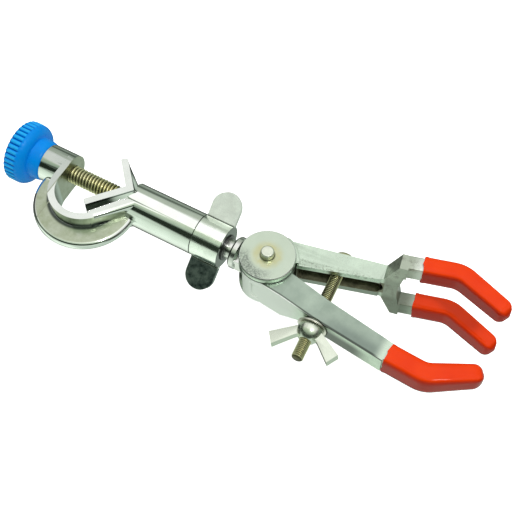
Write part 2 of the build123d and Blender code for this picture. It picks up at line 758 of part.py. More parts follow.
with BuildPart() as adjusting_screw:
    with BuildSketch(SCREW_AXIS):
        with BuildLine():
            Polyline(
                (0, HEAD_TOP),
                (0, ADJ_END),
                (ADJ_R - 0.5, ADJ_END),
                (ADJ_R, ADJ_END + 0.5),
                (ADJ_R, HEAD_BASE),
                (HEAD_R, HEAD_BASE),
                (HEAD_R, HEAD_BASE + 0.8),
            )
            ThreePointArc(
                (HEAD_R, HEAD_BASE + 0.8), (0.78 * HEAD_R, HEAD_TOP - 0.75), (0.3 * HEAD_R, HEAD_TOP)
            )
            Line((0.3 * HEAD_R, HEAD_TOP), (0, HEAD_TOP))
        make_face()
    revolve(axis=ADJ_AXIS)

with BuildPart() as head_washer:
    add(seat_washer(A_BALL_R, HEAD_WASHER_R, HEAD_BASE, 1))

with BuildPart() as nut_washer:
    add(seat_washer(B_BALL_R, NUT_WASHER_R, NUT_BASE + GAP, -1))

blade_plane = SCREW_AXIS.rotated((0, WING_TURN, 0))

with BuildPart() as wing_nut:
    with BuildSketch(SCREW_AXIS):
        with BuildLine():
            Polyline((0, NUT_TOP), (0, NUT_BASE), (NUT_R, NUT_BASE), (NUT_R, NUT_BASE - 1.2))
            ThreePointArc(
                (NUT_R, NUT_BASE - 1.2), (0.82 * NUT_R, NUT_TOP + 2.0), (0.62 * NUT_R, NUT_TOP)
            )
            Line((0.62 * NUT_R, NUT_TOP), (0, NUT_TOP))
        make_face()
    revolve(axis=ADJ_AXIS)
    with BuildSketch(blade_plane.offset(-BLADE_T / 2)):
        for way in (1, -1):
            with Locations((way * BLADE_MID[0], NUT_BASE - BLADE_MID[1])):
                SlotCenterToCenter(BLADE_L, BLADE_W, rotation=-way * BLADE_ANGLE)
    extrude(amount=BLADE_T)
    with BuildSketch(across(ADJ_END - 1)):
        Circle(ADJ_R + FIT)
    extrude(amount=40, mode=Mode.SUBTRACT)

# ---------------------------------------------------------------- files

pieces = {
    "boss_frame": boss_frame,
    "clamp_screw": clamp_screw,
    "screw_knob": screw_knob,
    "wing_collar": wing_collar,
    "front_bush": front_bush,
    "rear_friction_washer": rear_friction_washer,
    "front_friction_washer": front_friction_washer,
    "shaft_snap_ring": shaft_snap_ring,
    "swivel_shaft": swivel_shaft,
    "pivot_pin": pivot_pin,
    "rivet_washer": rivet_washer,
    "two_prong_arm": two_prong_arm,
    "one_prong_arm": one_prong_arm,
    "upper_prong_sleeve": upper_prong_sleeve,
    "lower_prong_sleeve": lower_prong_sleeve,
    "single_prong_sleeve": single_prong_sleeve,
    "adjusting_screw": adjusting_screw,
    "head_washer": head_washer,
    "nut_washer": nut_washer,
    "wing_nut": wing_nut,
}
for name, piece in pieces.items():
    piece.part.label = name
    export_step(piece.part, f"parts/{name}.step")
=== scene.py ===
import json
from math import atan2, cos, pi, radians, sin, sqrt

import bmesh
import bpy
from mathutils import Matrix, Vector


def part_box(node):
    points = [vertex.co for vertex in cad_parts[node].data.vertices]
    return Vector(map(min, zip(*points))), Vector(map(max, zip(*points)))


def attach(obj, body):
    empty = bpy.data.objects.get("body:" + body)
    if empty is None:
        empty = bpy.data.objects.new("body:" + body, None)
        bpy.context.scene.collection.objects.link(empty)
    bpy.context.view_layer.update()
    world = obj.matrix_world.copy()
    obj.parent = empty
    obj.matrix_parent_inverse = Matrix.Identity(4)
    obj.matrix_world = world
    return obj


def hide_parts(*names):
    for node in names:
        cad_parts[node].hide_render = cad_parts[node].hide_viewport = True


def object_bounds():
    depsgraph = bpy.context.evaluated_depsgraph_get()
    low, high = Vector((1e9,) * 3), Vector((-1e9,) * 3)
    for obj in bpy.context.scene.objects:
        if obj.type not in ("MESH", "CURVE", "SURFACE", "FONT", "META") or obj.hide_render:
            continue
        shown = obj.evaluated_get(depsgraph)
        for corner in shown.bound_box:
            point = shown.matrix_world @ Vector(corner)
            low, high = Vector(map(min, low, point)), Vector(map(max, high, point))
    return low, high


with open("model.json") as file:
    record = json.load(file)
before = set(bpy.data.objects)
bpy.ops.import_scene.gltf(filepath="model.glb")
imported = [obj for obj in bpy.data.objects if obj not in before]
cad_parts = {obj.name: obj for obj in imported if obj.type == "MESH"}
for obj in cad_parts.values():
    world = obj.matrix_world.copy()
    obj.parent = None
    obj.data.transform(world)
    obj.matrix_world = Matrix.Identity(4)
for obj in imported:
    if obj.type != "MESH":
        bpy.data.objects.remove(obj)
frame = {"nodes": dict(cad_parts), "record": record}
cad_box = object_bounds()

MM = 0.001
UP = Vector((0, 0, 1))
scene = bpy.context.scene
nodes = frame["nodes"]
behaviour = frame["record"]["behaviour"]
NODE_BODY = {n: b for b, ns in behaviour["bodies"].items() for n in ns}

# ---------------------------------------------------------------- places in mm, as in the CAD


def plan_axes(degrees_):
    """Unit vectors along an arm that points this far round from +X, and across it."""
    a = radians(degrees_)
    return (cos(a), sin(a), 0), (-sin(a), cos(a), 0)


def adjusting_axis():
    """Point under the wing nut's washer and the direction towards the screw's head."""
    joint = next(j for j in behaviour["joints"] if j["name"] == "wing_nut_turn")
    away = -Vector(joint["axis"]).normalized()
    return Vector(joint["pos_m"]) / MM + away * NUT_TO_WASHER, away


ORIGIN = (0, 0, 0)
PIVOT = (67.9, 0.0, 0.0)
ARCH = (-15.8, -8.3)
RIB = (-14.9, -9.9)
A_ALONG, A_ACROSS = plan_axes(11.8)
B_ALONG, B_ACROSS = plan_axes(-6.2)
WING_OUT = (0, cos(radians(40)), sin(radians(40)))
NUT_TO_WASHER = 20
ADJ_BASE, ADJ_DIR = adjusting_axis()
ADJ_SIDE = ADJ_DIR.cross(UP)

# ---------------------------------------------------------------- material helpers


def rgba(color):
    """A grey or a colour as a colour input takes it; a socket stays a socket."""
    if isinstance(color, float):
        return (color, color, color, 1.0)
    return (*color, 1.0) if isinstance(color, tuple) else color


def times(color, factor):
    """A colour made lighter or darker."""
    return tuple(min(1.0, factor * c) for c in color)


class Nodes:
    """A node tree and a short way to add and link nodes."""

    def __init__(self, tree):
        self.tree = tree

    def node(self, kind, inputs=None, **props):
        n = self.tree.nodes.new("ShaderNode" + kind)
        for key, value in props.items():
            setattr(n, key, value)
        for key, value in (inputs or {}).items():
            if hasattr(value, "is_output"):
                self.tree.links.new(value, n.inputs[key])
            else:
                n.inputs[key].default_value = value
        return n

    def ramp(self, fac, stops):
        """Colour ramp; stops are (position, grey or colour)."""
        n = self.node("ValToRGB", {"Fac": fac})
        elements = n.color_ramp.elements
        while len(elements) < len(stops):
            elements.new(0.5)
        for element, (position, color) in zip(elements, stops):
            element.position = position
            element.color = rgba(color)
        return n.outputs["Color"]

    def mix(self, fac, a, b):
        return self.node("MixRGB", {"Fac": fac, "Color1": rgba(a), "Color2": rgba(b)}).outputs["Color"]

    def math(self, op, a, b=0.0):
        return self.node("Math", {0: a, 1: b}, operation=op).outputs[0]

    def vector_math(self, op, a, b=None):
        inputs = {0: a} if b is None else {0: a, 1: b}
        return self.node("VectorMath", inputs, operation=op).outputs

    def hypot(self, a, b):
        return self.math("SQRT", self.math("ADD", self.math("MULTIPLY", a, a), self.math("MULTIPLY", b, b)))

    def step(self, value, start, end):
        """0 before start and 1 beyond end, smooth between; start may be the larger."""
        return self.node("MapRange", {"Value": value, "From Min": start, "From Max": end},
                         interpolation_type="SMOOTHSTEP").outputs[0]

    def all_of(self, *masks):
        """1 where every mask is 1."""
        total = masks[0]
        for mask in masks[1:]:
            total = self.math("MULTIPLY", total, mask)
        return total

    def paint(self, base, color, *masks, strength=1.0):
        """The base, with another colour over it where every mask is 1."""
        mask = self.all_of(*masks)
        if strength < 1.0:
            mask = self.math("MULTIPLY", mask, strength)
        return self.mix(mask, base, color)


class Shader(Nodes):
    """A Principled material, with noises and masks in the rest frame's space."""

    def __init__(self, name, color, metallic=0.0, roughness=0.3, specular=0.5):
        self.mat = bpy.data.materials.new(name)
        self.mat.use_nodes = True
        super().__init__(self.mat.node_tree)
        self.bsdf = self.tree.nodes["Principled BSDF"]
        self.bsdf.inputs["Base Color"].default_value = rgba(color)
        self.bsdf.inputs["Metallic"].default_value = metallic
        self.bsdf.inputs["Roughness"].default_value = roughness
        self.bsdf.inputs["Specular IOR Level"].default_value = specular
        self.coord = self.tree.nodes.new("ShaderNodeTexCoord").outputs["Object"]

    def set(self, socket, output):
        self.tree.links.new(output, self.bsdf.inputs[socket])

    def noise(self, scale, detail, rough, stretch=(1, 1, 1), distortion=0.0):
        """Noise in object space; scale is in features per metre."""
        place = self.node("Mapping", {"Vector": self.coord, "Scale": stretch}).outputs[0]
        return self.node("TexNoise", {"Vector": place, "Scale": scale, "Detail": detail,
                                      "Roughness": rough, "Distortion": distortion}).outputs["Fac"]

    def bump(self, height, distance, strength, after=None):
        """Bump of a distance in mm, on top of another bump."""
        n = self.node("Bump", {"Height": height, "Distance": distance * MM, "Strength": strength})
        if after is not None:
            self.tree.links.new(after, n.inputs["Normal"])
        return n.outputs["Normal"]

    def away(self, origin):
        """Vector from origin, in metres."""
        return self.vector_math("SUBTRACT", self.coord, tuple(c * MM for c in origin))[0]

    def along(self, origin, direction):
        """Distance in mm from origin along a direction."""
        in_mm = tuple(c / MM for c in direction)
        return self.vector_math("DOT_PRODUCT", self.away(origin), in_mm)["Value"]

    def from_axis(self, x, y):
        """Distance in mm from an upright axis."""
        return self.hypot(self.along((x, y, 0), (1, 0, 0)), self.along((x, y, 0), (0, 1, 0)))

    def from_line(self, origin, direction):
        """Distance in mm from a line."""
        in_mm = tuple(c / MM for c in direction)
        turned_off = self.vector_math("CROSS_PRODUCT", self.away(origin), in_mm)[0]
        return self.vector_math("LENGTH", turned_off)["Value"]


# ---------------------------------------------------------------- plated and turned metal

CASTING = (0.82, 0.86, 0.81)
ARM_TINT = (0.56, 0.66, 0.55)
DISC_TINT = (0.54, 0.62, 0.51)
COLLAR_TINT = (0.80, 0.85, 0.78)
# Near-black for painted shade
SHADE_BLACK = (0.04, 0.05, 0.04)


def chrome(name, tint, haze, mottle):
    """Bright plate: mirror with faint haze, wiping scratches and a slightly uneven casting under it."""
    s = Shader(name, tint, metallic=1.0, roughness=haze)
    cloud = s.noise(90, 5, 0.6)
    grain = s.noise(1600, 3, 0.6)
    s.set("Base Color", s.mix(s.ramp(cloud, [(0.35, 0.0), (0.75, mottle)]), tint, times(tint, 0.80)))
    s.set("Roughness", s.ramp(s.mix(0.35, cloud, grain), [(0.3, haze * 0.7), (0.7, haze * 1.6)]))
    scratch = s.noise(700, 2, 0.5, stretch=(0.06, 1, 1))
    wave = s.bump(s.noise(60, 2, 0.4), 0.22, 0.25)
    s.set("Normal", s.bump(scratch, 0.02, 0.12, after=wave))
    return s.mat


def satin_nickel(name, tint, rough, contrast=0.35):
    """Dull nickel plate: pitted, blotchy and a little green."""
    s = Shader(name, tint, metallic=1.0, roughness=rough)
    blotch = s.noise(160, 6, 0.62, distortion=0.4)
    grain = s.noise(2400, 4, 0.7)
    base = s.mix(s.ramp(blotch, [(0.30, 1.0), (0.62, 0.0)]), times(tint, 1.12), tint)
    base = s.paint(base, times(tint, 0.55), s.ramp(grain, [(0.30, contrast), (0.55, 0.0)]))
    s.set("Base Color", base)
    s.set("Roughness", s.ramp(s.mix(0.5, blotch, grain), [(0.3, rough * 0.75), (0.7, rough * 1.5)]))
    coarse = s.bump(s.noise(420, 3, 0.5), 0.10, 0.25)
    s.set("Normal", s.bump(grain, 0.03, 0.30, after=coarse))
    return s.mat


def chrome_casting():
    """Bright plated casting: mirror on the barrel, satin olive on the rib, greyer inside the arch, and
    painted shade and dark reflections on the boss, in a corner and along edges.
    """
    s = Shader("chrome_casting", CASTING, metallic=1.0, roughness=0.1)
    cloud = s.noise(90, 5, 0.6)
    grain = s.noise(1700, 4, 0.65)
    mottle = s.ramp(s.noise(300, 6, 0.7), [(0.30, 0.70), (0.66, 1.0)])
    x = s.along(ORIGIN, (1, 0, 0))
    y = s.along(ORIGIN, (0, 1, 0))
    z = s.math("ABSOLUTE", s.along(ORIGIN, (0, 0, 1)))
    r = s.from_axis(*ARCH)
    base = s.mix(s.ramp(cloud, [(0.38, 0.0), (0.72, 0.45)]), CASTING, (0.62, 0.67, 0.60))
    # The rib's flat face, and a painted dark reflection in the corner between the rib and the strap
    face = s.all_of(s.step(y, -8.2, -9.4), s.step(r, 15.5, 15.8), s.step(z, 2.6, 2.35),
                    s.step(z, 2.15, 2.28), s.step(s.from_axis(*RIB), 22.0, 21.3))
    base = s.paint(base, (0.36, 0.41, 0.28), face, mottle)
    crevice_shade = s.all_of(s.step(y, -8.2, -9.4), s.step(r, 15.3, 15.5), s.step(r, 17.3, 16.2),
                       s.step(z, 3.6, 2.6))
    base = s.paint(base, (0.03, 0.04, 0.04), crevice_shade, strength=0.9)
    # The strap's inner side
    inside = s.all_of(s.step(r, 12.7, 12.45), s.step(x, -12.3, -13.0), s.step(z, 8.4, 7.9),
                      s.step(x, -28.3, -28.0))
    base = s.paint(base, (0.46, 0.53, 0.47), inside, mottle)
    # Painted dark reflection on the bevel on the outside of the V's lower arm
    down_arm = s.along(ORIGIN, (-sqrt(0.5), -sqrt(0.5), 0))
    outward = s.along(ORIGIN, (sqrt(0.5), -sqrt(0.5), 0))
    bevel_dark_reflection = s.all_of(s.step(z, 10.45, 10.1), s.step(z, 7.4, 7.9), s.step(outward, 0.6, 1.0),
                    s.step(outward, 3.5, 3.2), s.step(down_arm, 4.0, 13.0), s.step(down_arm, 19.0, 18.6))
    cloudy = s.ramp(s.noise(420, 5, 0.7, distortion=0.5), [(0.30, 0.35), (0.60, 1.0)])
    base = s.paint(base, (0.08, 0.12, 0.12), bevel_dark_reflection, cloudy)
    # The screw boss: painted grey shade on its crown, and painted shade on its dull face towards the V
    crown_shade = s.all_of(s.step(x, -27.6, -28.2), s.step(z, 5.2, 6.6))
    base = s.paint(base, (0.22, 0.27, 0.24), crown_shade, strength=0.4)
    end = s.all_of(s.step(x, -28.5, -28.3), s.step(x, -27.9, -28.1))
    base = s.paint(base, (0.33, 0.36, 0.26), end, mottle)
    # Pits everywhere, and a painted dark reflection along the edge of the V's upper and lower faces
    pits = s.ramp(s.noise(900, 6, 0.8), [(0.62, 0.0), (0.74, 0.7)])
    base = s.paint(base, (0.20, 0.22, 0.20), pits)
    corner = s.all_of(s.step(z, 9.9, 10.15), s.step(z, 10.66, 10.45))
    base = s.paint(base, (0.06, 0.07, 0.07), corner, strength=0.8)
    s.set("Base Color", base)
    satin = s.math("MAXIMUM", face, s.math("MAXIMUM", inside, end))
    s.set("Roughness", s.mix(satin, s.ramp(cloud, [(0.3, 0.07), (0.7, 0.15)]), 0.30))
    wave = s.bump(s.noise(60, 2, 0.4), 0.22, 0.22)
    s.set("Normal", s.bump(grain, 0.02, 0.15, after=wave))
    return s.mat


def speckled(s, tint, contrast):
    """Plated sheet's colour, soft blotches with fine dark pits round a tint, and its two noises."""
    blotch = s.noise(170, 5, 0.6, distortion=0.3)
    grain = s.noise(2600, 4, 0.7)
    base = s.mix(s.ramp(blotch, [(0.36, 0.0), (0.60, 1.0)]), tint, times(tint, 1.16))
    base = s.paint(base, times(tint, 0.45), s.ramp(grain, [(0.30, contrast), (0.52, 0.0)]))
    return base, blotch, grain


def finish_sheet(s, base, blotch, grain, rough):
    """Plated sheet's colour, uneven gloss and slight waves."""
    s.set("Base Color", base)
    s.set("Roughness", s.ramp(s.mix(0.5, blotch, grain), [(0.3, rough * 0.8), (0.7, rough * 1.4)]))
    waves = s.bump(s.noise(230, 3, 0.5), 0.14, 0.22)
    s.set("Normal", s.bump(grain, 0.02, 0.25, after=waves))
    return s.mat


def two_prong_nickel():
    """Nickel arm: pale disc with a stained ring round the pin and a painted highlight on its rim, dirty
    edges, and painted shade under the disc, down the fork and in the channel.
    """
    s = Shader("nickel_arm_upper", ARM_TINT, metallic=1.0)
    base, blotch, grain = speckled(s, ARM_TINT, 0.30)
    u = s.along(PIVOT, A_ALONG)
    v = s.along(PIVOT, A_ACROSS)
    z = s.along(PIVOT, (0, 0, 1))
    r = s.from_axis(*PIVOT[:2])
    # Disc: worn on one side, yellowed round the pin and darkest right at its foot, with a painted highlight
    # on its rim and painted shade under it
    disc = s.all_of(s.step(z, 8.2, 8.6), s.step(r, 11.9, 11.6))
    base = s.paint(base, DISC_TINT, disc)
    worn = s.all_of(disc, s.step(r, 6.2, 8.6), s.step(u, 6.5, -2.0), s.step(v, 2.5, -4.5))
    specks = s.ramp(s.noise(1500, 5, 0.75), [(0.42, 1.0), (0.60, 0.15)])
    base = s.paint(base, (0.20, 0.23, 0.20), worn, specks)
    ring = s.all_of(disc, s.step(r, 2.7, 3.6), s.step(r, 7.6, 4.4))
    cloud = s.ramp(s.noise(420, 4, 0.6), [(0.25, 0.3), (0.62, 1.0)])
    base = s.paint(base, (0.54, 0.54, 0.31), ring, cloud)
    base = s.paint(base, (0.16, 0.16, 0.08), disc, s.step(r, 3.5, 2.95))
    base = s.paint(base, (0.92, 0.95, 0.90), s.step(r, 11.2, 11.4), s.step(z, 9.35, 9.5))
    shade_below_rim = s.all_of(s.step(r, 11.3, 11.6), s.step(z, 7.6, 7.0), s.step(r, 12.6, 12.2), s.step(z, 5.0, 6.0))
    base = s.paint(base, (0.05, 0.06, 0.05), shade_below_rim)
    # Dirt along the upper face's inner edge
    body = s.all_of(s.step(u, 11.5, 13.5), s.step(u, 48.0, 46.0), s.step(z, 3.9, 5.2))
    dirt = s.ramp(s.noise(1100, 4, 0.7), [(0.50, 0.0), (0.66, 0.7)])
    base = s.paint(base, (0.16, 0.17, 0.13), body, s.step(v, 5.2, 3.4), dirt)
    # Fork: greyer, with painted shade that deepens further down, and flaws on its inner side
    fork = s.all_of(s.step(u, 47.2, 48.6), s.step(u, 64.0, 56.0))
    base = s.paint(base, (0.44, 0.49, 0.40), fork)
    base = s.paint(base, (0.33, 0.37, 0.30), fork, s.step(z, 9.5, 6.0))
    base = s.paint(base, (0.19, 0.22, 0.17), fork, s.step(z, -2.0, -8.0))
    flaws = s.ramp(s.noise(380, 6, 0.75), [(0.50, 0.0), (0.70, 0.8)])
    base = s.paint(base, (0.15, 0.14, 0.11), fork, s.step(v, 10.9, 9.0), flaws)
    # Channel: painted shade on the lower flange, and mottled painted shade inside
    flange_shade = s.all_of(s.step(z, -3.6, -4.2), s.step(u, 11.5, 13.5), s.step(u, 48.0, 46.0))
    base = s.paint(base, (0.27, 0.31, 0.26), flange_shade)
    inside = s.all_of(s.step(v, 9.0, 8.8), s.step(z, 3.98, 3.84), s.step(z, -3.98, -3.84),
                      s.step(u, 48.4, 47.9))
    channel_shade_mottle = s.ramp(s.noise(300, 5, 0.7), [(0.35, 0.0), (0.70, 1.0)])
    base = s.paint(base, s.mix(channel_shade_mottle, (0.090, 0.086, 0.055), (0.27, 0.27, 0.17)), inside)
    dull = s.math("MAXIMUM", s.math("MULTIPLY", inside, 0.8), s.math("MULTIPLY", fork, 0.45))
    s.set("Metallic", s.math("SUBTRACT", 1.0, dull))
    return finish_sheet(s, base, blotch, grain, 0.30)


def one_prong_nickel():
    """Nickel arm: greyer upper face with a painted dark line along its outer edge, a painted highlight on
    the side near the pivot, and painted shade further along the side, under the disc and in the channel.
    """
    s = Shader("nickel_arm_lower", ARM_TINT, metallic=1.0)
    base, blotch, grain = speckled(s, ARM_TINT, 0.45)
    u = s.along(PIVOT, B_ALONG)
    v = s.along(PIVOT, B_ACROSS)
    z = s.along(PIVOT, (0, 0, 1))
    # Upper face: grey, with painted shade darker towards the finger and a painted dark line along its outer
    # edge
    top = s.all_of(s.step(z, 3.6, 4.3), s.step(v, -11.0, -10.75), s.step(u, 60.5, 56.5))
    grey = s.ramp(s.noise(110, 4, 0.6), [(0.30, 0.70), (0.62, 1.0)])
    base = s.paint(base, (0.30, 0.37, 0.31), top, grey)
    shade = s.all_of(top, s.step(u, 26.0, 44.0), s.step(v, -4.0, -9.0))
    base = s.paint(base, (0.16, 0.20, 0.18), shade, strength=0.6)
    edge_shade_line = s.all_of(top, s.step(v, -10.0, -10.5), s.step(u, 1.0, 6.0))
    base = s.paint(base, SHADE_BLACK, edge_shade_line, strength=0.8)
    # Outer side: a painted highlight near the pivot and painted shade further out, under a painted dark rim
    near = s.all_of(s.step(v, -10.6, -11.0), s.step(u, 26.0, 16.0))
    base = s.paint(base, (0.93, 0.96, 0.92), near)
    s.set("Metallic", s.math("SUBTRACT", 1.0, s.math("MULTIPLY", near, 0.9)))
    # Painted shade on the upper face under the disc's edge
    shade_below_disc = s.all_of(s.step(z, 6.4, 7.2), s.step(s.from_axis(*PIVOT[:2]), 12.8, 12.1))
    base = s.paint(base, SHADE_BLACK, shade_below_disc)
    rim_shade = s.all_of(s.step(z, 4.0, 4.6), s.step(v, -10.7, -10.9), s.step(u, 20.0, 30.0))
    base = s.paint(base, (0.08, 0.09, 0.08), rim_shade)
    side_shade = s.all_of(s.step(v, -10.6, -11.0), s.step(u, 26.0, 34.0), s.step(u, 58.0, 48.0))
    base = s.paint(base, (0.15, 0.17, 0.15), side_shade, s.step(z, 4.6, 0.0))
    # Painted shade inside the channel
    inside = s.all_of(s.step(v, -8.45, -8.25), s.step(z, 3.1, 2.9), s.step(z, -3.1, -2.9),
                      s.step(u, 12.0, 13.0))
    base = s.paint(base, (0.04, 0.038, 0.03), inside)
    return finish_sheet(s, base, blotch, grain, 0.32)


def winged_nickel():
    """Wing collar: mirror on the barrel, a pale satin upper wing, and mottled painted shade on the lower
    wing.
    """
    s = Shader("collar_nickel", COLLAR_TINT, metallic=1.0)
    base = speckled(s, COLLAR_TINT, 0.25)[0]
    across = s.along(ORIGIN, WING_OUT)
    upper = s.step(across, 9.3, 10.2)
    lower = s.step(across, -9.3, -10.2)
    mottle = s.ramp(s.noise(360, 6, 0.7), [(0.35, 0.0), (0.65, 1.0)])
    # Painted shade on the lower wing, mottled
    base = s.paint(base, s.mix(mottle, (0.035, 0.058, 0.055), (0.24, 0.30, 0.27)), lower)
    front = s.all_of(s.step(s.along(ORIGIN, (1, 0, 0)), 48.35, 48.5), s.step(across, 9.3, 9.0),
                     s.step(across, -9.3, -9.0))
    base = s.paint(base, (0.13, 0.15, 0.13), front)
    s.set("Base Color", base)
    s.set("Roughness", s.mix(s.math("MAXIMUM", upper, lower), 0.13, 0.42))
    s.set("Metallic", s.math("SUBTRACT", 1.0, s.math("MULTIPLY", upper, 0.9)))
    s.set("Normal", s.bump(s.noise(420, 3, 0.55), 0.12, 0.35))
    return s.mat


def turned_steel(name, tint, rough=0.22, axis=0):
    """Machined steel, with fine turning marks round its axis."""
    s = Shader(name, tint, metallic=1.0, roughness=rough)
    stretch = tuple(1.0 if i == axis else 0.05 for i in range(3))
    lines = s.noise(5000, 2, 0.5, stretch=stretch)
    cloud = s.noise(300, 4, 0.6)
    s.set("Base Color", s.mix(s.ramp(cloud, [(0.35, 0.0), (0.75, 0.5)]), tint, times(tint, 0.65)))
    s.set("Roughness", s.ramp(lines, [(0.3, rough * 0.8), (0.7, rough * 1.3)]))
    s.set("Normal", s.bump(lines, 0.02, 0.25))
    return s.mat


def zinc_thread(name, tint, origin, along, root, crest):
    """Yellow zinc plate with darker patches, and painted shade down in the thread about an axis."""
    s = Shader(name, tint, metallic=1.0)
    cloud = s.noise(120, 3, 0.5)
    base = s.mix(s.ramp(cloud, [(0.4, 0.0), (0.7, 0.6)]), tint, (0.88, 0.87, 0.62))
    base = s.paint(base, times(tint, 0.5), s.ramp(cloud, [(0.45, 0.0), (0.75, 0.4)]))
    # Painted shade in the thread's grooves
    groove_shade = s.step(s.from_line(origin, along), crest, root)
    s.set("Base Color", s.paint(base, times(tint, 0.16), groove_shade))
    s.set("Roughness", s.ramp(cloud, [(0.3, 0.34), (0.7, 0.44)]))
    return s.mat


# ---------------------------------------------------------------- plastic and vinyl


def moulded_plastic(name, tint, deep):
    """Moulded plastic with faint orange peel, painted highlights on the grip's ribs and painted shade
    between them.
    """
    s = Shader(name, tint, specular=0.12)
    base = s.mix(s.ramp(s.noise(140, 3, 0.5), [(0.35, 0.0), (0.7, 0.35)]), tint, deep)
    x = s.along(ORIGIN, (1, 0, 0))
    r = s.hypot(s.along(ORIGIN, (0, 1, 0)), s.along(ORIGIN, (0, 0, 1)))
    # Painted shade between the grip's ribs and painted highlights on their crests
    grip = s.all_of(s.step(x, -49.9, -50.4), s.step(r, 12.6, 12.9))
    base = s.paint(base, (0.0, 0.11, 0.50), grip, s.step(r, 13.5, 13.05))
    base = s.paint(base, (0.02, 0.46, 1.0), grip, s.step(r, 13.45, 13.75))
    s.set("Base Color", base)
    s.set("Roughness", s.ramp(s.noise(900, 3, 0.6), [(0.3, 0.24), (0.7, 0.40)]))
    s.set("Normal", s.bump(s.noise(1400, 2, 0.5), 0.03, 0.25))
    return s.mat


def dipped_vinyl(name, tint, deep, side_shade):
    """Soft dipped vinyl: gloss, slow waves from dripping, and painted shade, a deeper colour, on what faces
    sideways and down.
    """
    s = Shader(name, tint, specular=0.14)
    slow = s.noise(110, 2, 0.45)
    fine = s.noise(1500, 3, 0.6)
    base = s.mix(s.ramp(slow, [(0.35, 0.0), (0.75, 0.5)]), tint, deep)
    # Painted shade, deeper as the surface turns from up to sideways and down
    facing_up = s.vector_math("DOT_PRODUCT", s.node("NewGeometry").outputs["Normal"], tuple(UP))["Value"]
    base = s.paint(base, side_shade, s.ramp(facing_up, [(0.0, 0.9), (0.5, 0.6), (0.85, 0.0)]))
    s.set("Base Color", base)
    s.set("Roughness", s.ramp(fine, [(0.3, 0.07), (0.75, 0.13)]))
    s.set("Normal", s.bump(fine, 0.02, 0.25, after=s.bump(slow, 0.6, 0.5)))
    return s.mat


# ---------------------------------------------------------------- which material is where

CHROME = chrome_casting()
COLLAR = winged_nickel()
ARM_A = two_prong_nickel()
ARM_B = one_prong_nickel()
BRIGHT = turned_steel("bright_steel", (0.75, 0.76, 0.72))
PIN_STEEL = turned_steel("pin_steel", (0.72, 0.76, 0.64), rough=0.34, axis=2)
DARK = turned_steel("dark_steel", (0.12, 0.12, 0.12), rough=0.35)
WASHER = satin_nickel("washer_steel", (0.66, 0.65, 0.58), rough=0.28)
ZINC = zinc_thread("zinc_screw", (0.88, 0.84, 0.46), ORIGIN, (1, 0, 0), root=3.3, crest=3.85)
ZINC_FINE = zinc_thread("zinc_screw_fine", (0.70, 0.68, 0.38), ADJ_BASE, ADJ_DIR, root=2.15, crest=2.42)
WING = chrome("wing_nut_chrome", (0.68, 0.73, 0.62), haze=0.20, mottle=0.4)
BLUE = moulded_plastic("knob_plastic", (0.001, 0.30, 0.95), (0.001, 0.20, 0.76))
RED = dipped_vinyl("red_vinyl", (1.0, 0.058, 0.004), (0.88, 0.036, 0.002), (0.40, 0.010, 0.001))

MATERIALS = {
    "boss_frame": CHROME,
    "clamp_screw": ZINC,
    "screw_knob": BLUE,
    "wing_collar": COLLAR,
    "front_bush": DARK,
    "rear_friction_washer": DARK,
    "front_friction_washer": DARK,
    "shaft_snap_ring": DARK,
    "swivel_shaft": BRIGHT,
    "pivot_pin": PIN_STEEL,
    "rivet_washer": WASHER,
    "two_prong_arm": ARM_A,
    "one_prong_arm": ARM_B,
    "upper_prong_sleeve": RED,
    "lower_prong_sleeve": RED,
    "single_prong_sleeve": RED,
    "adjusting_screw": ZINC_FINE,
    "head_washer": WASHER,
    "nut_washer": WASHER,
    "wing_nut": WING,
}
for node_name, material in MATERIALS.items():
    slots = nodes[node_name].data.materials
    slots.clear()
    slots.append(material)

# ---------------------------------------------------------------- geometry helpers


def put(name, data):
    """A new object in the scene."""
    obj = bpy.data.objects.new(name, data)
    scene.collection.objects.link(obj)
    return obj


def add_piece(name, mesh, node):
    """Puts a finished mesh on a CAD node's body, in place of the node."""
    obj = put(name, mesh)
    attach(obj, NODE_BODY[node])
    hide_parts(node)


def dress(mesh, material, angle):
    """Smooth shading, with sharp edges beyond an angle in degrees, and one material."""
    mesh.polygons.foreach_set("use_smooth", [True] * len(mesh.polygons))
    mesh.set_sharp_from_angle(angle=radians(angle))
    mesh.update()
    mesh.materials.clear()
    mesh.materials.append(material)


def round_edges(obj, width, angle):
    """Bevels what is sharper than an angle in degrees."""
    bevel = obj.modifiers.new("bevel", "BEVEL")
    bevel.width = width
    bevel.segments = 3
    bevel.limit_method = "ANGLE"
    bevel.angle_limit = radians(angle)
    return bevel


def applied(obj):
    """The mesh that an object's modifiers make."""
    graph = bpy.context.evaluated_depsgraph_get()
    return bpy.data.meshes.new_from_object(obj.evaluated_get(graph))


def closed_mesh(name, verts, faces):
    """A mesh with its faces turned outward."""
    mesh = bpy.data.meshes.new(name)
    mesh.from_pydata(verts, [], faces)
    bm = bmesh.new()
    bm.from_mesh(mesh)
    bmesh.ops.recalc_face_normals(bm, faces=bm.faces)
    bm.to_mesh(mesh)
    bm.free()
    return mesh


def circle(count):
    """Evenly spaced angles round a turn."""
    return [2 * pi * j / count for j in range(count)]


def lathe_grid(rings, place=tuple, closed_ends=True):
    """Vertices and faces from rings of points; place maps a point of a ring to space."""
    verts = [place(p) for ring in rings for p in ring]
    count = len(rings[0])
    faces = []
    for i in range(len(rings) - 1):
        for j in range(count):
            k = (j + 1) % count
            faces.append((i * count + j, i * count + k, (i + 1) * count + k, (i + 1) * count + j))
    if closed_ends:
        last = (len(rings) - 1) * count
        faces.append(tuple(reversed(range(count))))
        faces.append(tuple(range(last, last + count)))
    return verts, faces


